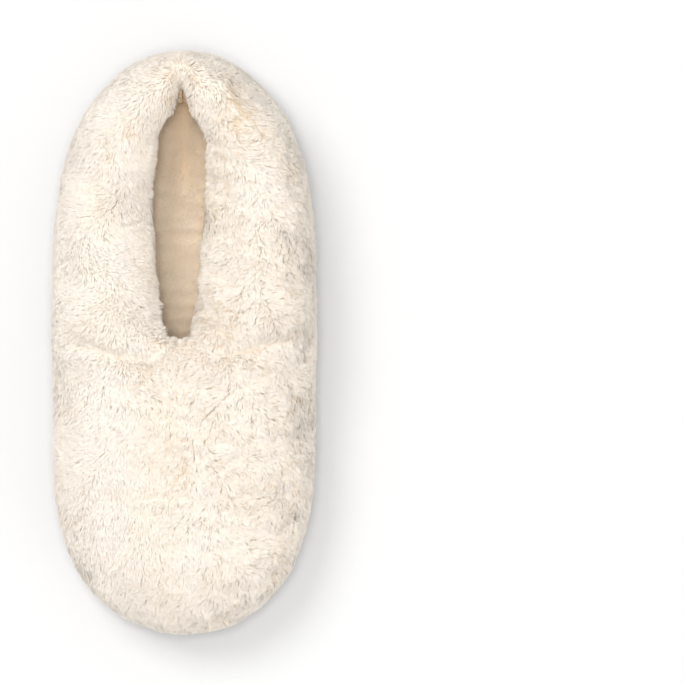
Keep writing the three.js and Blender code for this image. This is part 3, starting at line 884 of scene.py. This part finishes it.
# the nap of the fleece, where the opening shows it
nap_mat = pile_material("fleece_nap", srgb(240, 216, 185), srgb(252, 233, 207), srgb(255, 241, 220), srgb(216, 198, 176), (1.0, 1.0, 1.0), 0.95, 0.0)
top = to_space(M, np.stack([np.linspace(0.0, 1, 40)[None] * (M["R"] - 19.0)[:, None], np.full((M["n"], 40), 18.3)], -1))[:, ::-1]
top[..., 2] += footbed_top(top)
top_n = np.zeros_like(top) + np.array([0, 0, 1.0])
rng = np.random.default_rng(17)
inside = lambda q: ((np.abs(q[..., 0]) < 27) & (q[..., 1] > -16)).astype(float)
pile("footbed_nap", top, top_n, (170), rng, nap_mat, crossing, length=1.5, clump_mm=2.2, thick=0.13, weight=inside)
for part in ("right", "left"):
    rows = ROWS[part]
    wall = LINING_IN[rows][:, 4:2 * 11 + 1]
    wall_n = -grid_normals(wall, closed=False)
    shown = lambda q: ((q[..., 1] > 4) & (q[..., 2] > 16)).astype(float)
    pile("lining_nap_" + part, wall, wall_n, (110), rng, nap_mat, rear, length=1.5, clump_mm=2.2, thick=0.13, weight=shown)

# the elastic lies in the fold of the turned-in plush
edge_col = 3 * 4 + 8 * 4  # the grid column of the mouth's edge
loop = np.vstack([mouth[::4], (mouth * [-1, 1])[::-1][::4]])
tang = unit(np.roll(loop, -1, 0) - np.roll(loop, 1, 0))
out_2d = np.stack([tang[:, 1], -tang[:, 0]], 1)
grow = np.clip(np.abs(loop[:, 0]) / 5, 0.12, 1)
loop = loop + out_2d * (3.4 + 3.4 * grow)[:, None] + np.stack([-OFF_CENTRE * grow, 0 * grow], 1)
under = inner[:, 3 * 4:edge_col - 1].reshape(-1, 3)
under = under[under[:, 2] > 40]
path = np.array([[x, y, under[np.argmin((under[:, 0] - x) ** 2 + (under[:, 1] - y) ** 2), 2] - 2.6] for x, y in loop])
for _ in range(6):
    path = 0.5 * path + 0.25 * (np.roll(path, 1, 0) + np.roll(path, -1, 0))
o = tube_object("topline_elastic_cord", path, 1.3, elastic_mat)
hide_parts("topline_elastic")
rear(o)

# CAD pieces that stay, with better materials
for name, mat in (("heel_counter", counter_mat), ("heel_seam_tape", tape_mat)):
    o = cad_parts[name]
    for s in o.material_slots:
        s.material = mat

# ---------------------------------------------------------------- stage
floor_mat, nt, b = material("floor", 0.9, 0.0, 0.1)
b.inputs["Base Color"].default_value = (0.735, 0.735, 0.735, 1)
me = bpy.data.meshes.new("floor")
s = 6.0
me.from_pydata([(-s, -s, 0), (s, -s, 0), (s, s, 0), (-s, s, 0)], [], [(0, 1, 2, 3)])
floor = bpy.data.objects.new("floor", me)
me.materials.append(floor_mat)
bpy.context.scene.collection.objects.link(floor)

world = bpy.data.worlds.new("studio")
bpy.context.scene.world = world
world.use_nodes = True
bg = world.node_tree.nodes["Background"]
bg.inputs["Color"].default_value = (1.0, 1.0, 1.0, 1)
bg.inputs["Strength"].default_value = 0.71


def area_light(name, at, to, size, power, colour=(1, 1, 1)):
    l = bpy.data.lights.new(name, "AREA")
    l.shape, l.size, l.energy, l.color = "DISK", size, power, colour
    o = bpy.data.objects.new(name, l)
    bpy.context.scene.collection.objects.link(o)
    o.location = at
    o.rotation_euler = (Vector(to) - Vector(at)).to_track_quat("-Z", "Y").to_euler()
    return o


area_light("key", (-0.8, 0.85, 2.1), (0.02, 0, 0.02), 1.0, 21.5)
area_light("overhead", (0.0, 0.02, 2.2), (0, 0, 0), 0.5, 17)
area_light("fill", (0.95, -0.9, 0.5), (0, 0, 0.03), 0.9, 2.2)

cam_data = bpy.data.cameras.new("camera")
cam = bpy.data.objects.new("camera", cam_data)
bpy.context.scene.collection.objects.link(cam)
bpy.context.scene.camera = cam
HEIGHT, SPAN = 2.8, 0.3232
cam.location = (0.07466, 0.00047, 0.030 + HEIGHT)
cam.rotation_euler = (0, 0, 0)
cam_data.sensor_width = 36
cam_data.lens = 36 * HEIGHT / SPAN
cam_data.clip_end = 50
bpy.context.scene.cycles.max_bounces = 14
bpy.context.scene.cycles.diffuse_bounces = 10  # light goes a long way into pale pile
bpy.context.scene.view_settings.view_transform = "Standard"
bpy.context.scene.view_settings.look = "None"
